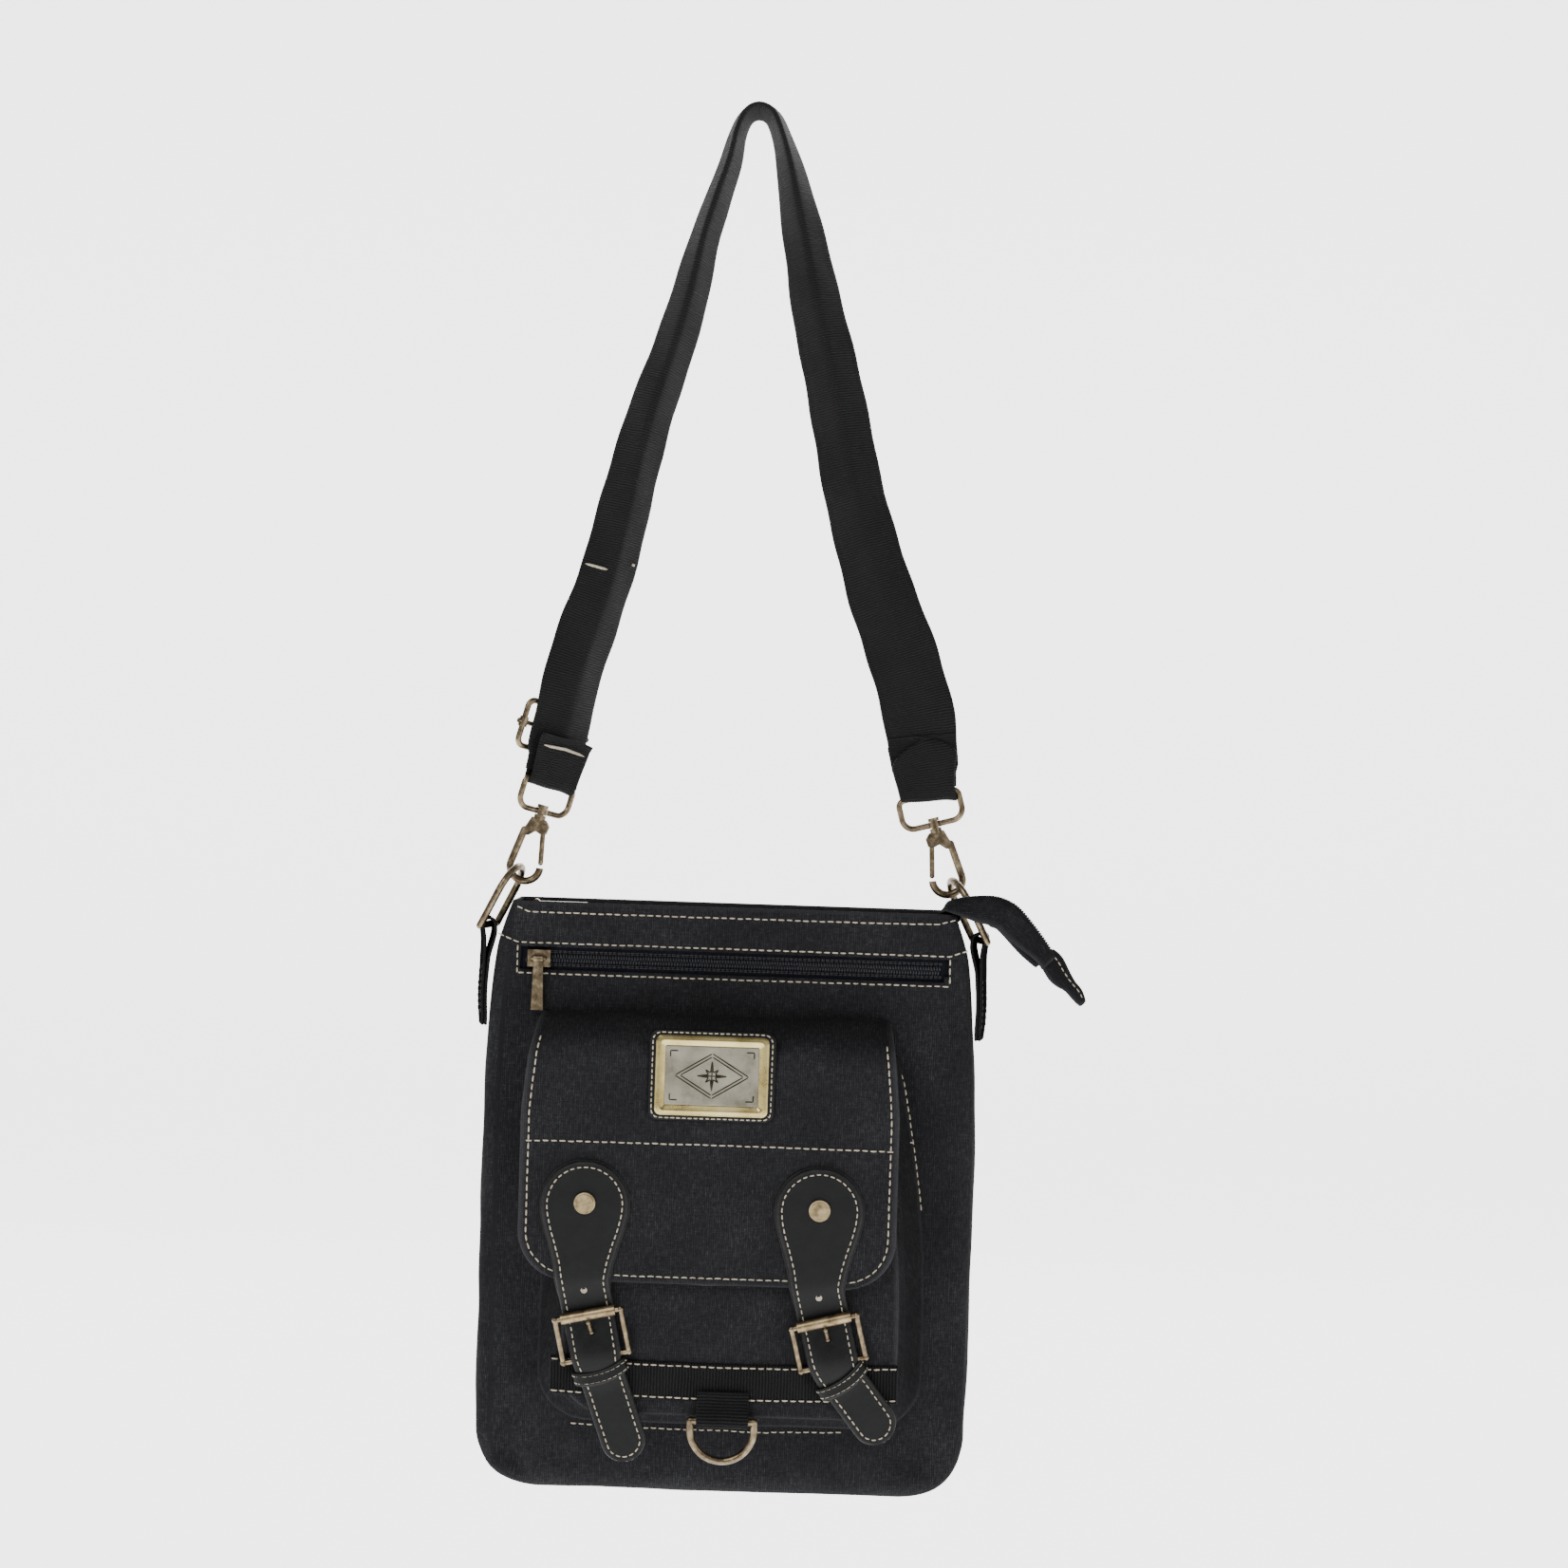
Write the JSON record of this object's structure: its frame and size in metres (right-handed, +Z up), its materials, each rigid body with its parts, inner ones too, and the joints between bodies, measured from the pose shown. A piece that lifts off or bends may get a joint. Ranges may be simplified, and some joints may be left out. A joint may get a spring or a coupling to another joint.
{
  "type": "crossbody purse",
  "caption": "Canvas crossbody purse with cargo pocket, buckled flap, zips and a webbing shoulder strap on snap hooks.",
  "frame": {"origin": "underside of the shoulder strap at its top, where a peg or shoulder carries it", "axes": "+Z up along the hanging bag, -Y out of the front, +X to the viewer's right"},
  "size_m": [0.3233, 0.0877, 0.743],
  "materials": {
    "canvas": "matte",
    "lining": "matte",
    "webbing": "matte",
    "zip_tape": "matte",
    "zip_coil": "satin",
    "leather": "satin",
    "antique_brass": "satin",
    "bright_brass": "polished",
    "magnet_steel": "satin"
  },
  "bodies": {
    "strap": {"strap_webbing": "webbing", "strap_slider": "antique_brass", "strap_slider_bar": "antique_brass", "eye_left": "antique_brass", "eye_right": "antique_brass"},
    "hook_left": {"hook_left": "antique_brass", "gate_pin_left": "antique_brass", "gate_spring_left": "magnet_steel"},
    "hook_right": {"hook_right": "antique_brass", "gate_pin_right": "antique_brass", "gate_spring_right": "magnet_steel"},
    "gate_left": {"gate_left": "antique_brass"},
    "gate_right": {"gate_right": "antique_brass"},
    "bag": {"side_tab_left": "leather", "side_tab_right": "leather", "front_panel": "canvas", "back_panel": "canvas", "gusset": "canvas", "lining": "lining", "top_zip_front": "canvas", "top_zip_back": "canvas", "top_zip_tape": "zip_tape", "top_zip_coil": "zip_coil", "top_zip_tail": "canvas", "top_zip_end": "canvas", "front_zip_tape": "zip_tape", "front_zip_coil": "zip_coil", "front_zip_bag": "lining", "pocket_front": "canvas", "pocket_gusset": "canvas", "pocket_band": "webbing", "pocket_loop": "webbing", "snap_sockets": "magnet_steel"},
    "ring_left": {"side_ring_left": "antique_brass"},
    "ring_right": {"side_ring_right": "antique_brass"},
    "front_ring": {"front_ring": "antique_brass"},
    "top_slider": {"top_slider": "antique_brass"},
    "top_pull": {"top_pull": "antique_brass"},
    "front_slider": {"front_slider": "antique_brass"},
    "front_pull": {"front_pull": "antique_brass"},
    "flap": {"flap_panel": "canvas", "flap_facing": "canvas", "badge_patch": "leather", "badge_frame": "bright_brass", "badge_plate": "antique_brass", "buckle_strap_left": "leather", "buckle_strap_right": "leather", "rivet_caps": "bright_brass", "snap_studs": "magnet_steel"},
    "buckle_left": {"strap_end_left": "leather", "keeper_left": "leather", "buckle_frame_left": "antique_brass", "buckle_prong_left": "antique_brass"},
    "buckle_right": {"strap_end_right": "leather", "keeper_right": "leather", "buckle_frame_right": "antique_brass", "buckle_prong_right": "antique_brass"},
    "roller_left": {"buckle_roller_left": "antique_brass"},
    "roller_right": {"buckle_roller_right": "antique_brass"}
  },
  "joints": [
    {"name": "hook_left_swivel", "type": "hinge", "parent": "strap", "child": "hook_left", "pos_m": [-0.1053, 0, -0.376], "axis": [0.2588, 0, 0.9659], "range_deg": [-8, 20]},
    {"name": "gate_left_hinge", "type": "hinge", "parent": "hook_left", "child": "gate_left", "pos_m": [-0.10409, 0, -0.38461], "axis": [0, 1, 0], "range_deg": [0, 12], "stiffness_Nm_per_rad": 0.02, "springref_deg": -17.19},
    {"name": "hook_right_swivel", "type": "hinge", "parent": "strap", "child": "hook_right", "pos_m": [0.1053, 0, -0.376], "axis": [-0.2588, 0, 0.9659], "range_deg": [-20, 12]},
    {"name": "gate_right_hinge", "type": "hinge", "parent": "hook_right", "child": "gate_right", "pos_m": [0.10409, 0, -0.38461], "axis": [0, -1, 0], "range_deg": [0, 12], "stiffness_Nm_per_rad": 0.02, "springref_deg": -17.19},
    {"name": "bag_swing", "type": "hinge", "parent": "strap", "child": "bag", "pos_m": [0, 0, -0.41319], "axis": [1, 0, 0], "range_deg": [-30, 30]},
    {"name": "ring_left_hinge", "type": "hinge", "parent": "bag", "child": "ring_left", "pos_m": [-0.1313, -0.0032, -0.437], "axis": [-0.2079, -0.9781, 0], "range_deg": [-2, 2]},
    {"name": "ring_right_hinge", "type": "hinge", "parent": "bag", "child": "ring_right", "pos_m": [0.1313, -0.0032, -0.437], "axis": [-0.2079, 0.9781, 0], "range_deg": [-2, 2]},
    {"name": "front_ring_hinge", "type": "hinge", "parent": "bag", "child": "front_ring", "pos_m": [0.003, -0.0508, -0.686], "axis": [-1, 0, 0], "range_deg": [0, 100]},
    {"name": "top_slider_slide", "type": "slide", "parent": "bag", "child": "top_slider", "axis": [1, 0, 0], "range_m": [0, 0.19]},
    {"name": "top_pull_hinge", "type": "hinge", "parent": "top_slider", "child": "top_pull", "pos_m": [-0.106, -0.004, -0.4245], "axis": [0, -1, 0], "range_deg": [0, 72]},
    {"name": "front_slider_slide", "type": "slide", "parent": "bag", "child": "front_slider", "axis": [1, 0, 0], "range_m": [0, 0.206]},
    {"name": "front_pull_hinge", "type": "hinge", "parent": "front_slider", "child": "front_pull", "pos_m": [-0.102, -0.0241, -0.453], "axis": [-1, 0, 0], "range_deg": [0, 150]},
    {"name": "flap_hinge", "type": "hinge", "parent": "bag", "child": "flap", "pos_m": [-0.008, -0.022, -0.4815], "axis": [-1, 0, 0], "range_deg": [0, 90]},
    {"name": "buckle_left_bend", "type": "hinge", "parent": "flap", "child": "buckle_left", "pos_m": [-0.071, -0.0551, -0.6155], "axis": [-1, 0, 0], "range_deg": [0, 70]},
    {"name": "roller_left_spin", "type": "hinge", "parent": "buckle_left", "child": "roller_left", "pos_m": [-0.06747, -0.0565, -0.63213], "axis": [0.9781, 0, 0.2079], "continuous": true},
    {"name": "buckle_right_bend", "type": "hinge", "parent": "flap", "child": "buckle_right", "pos_m": [0.0495, -0.0551, -0.6155], "axis": [-1, 0, 0], "range_deg": [0, 70]},
    {"name": "roller_right_spin", "type": "hinge", "parent": "buckle_right", "child": "roller_right", "pos_m": [0.05361, -0.0565, -0.63199], "axis": [0.9703, 0, 0.2419], "continuous": true}
  ]
}
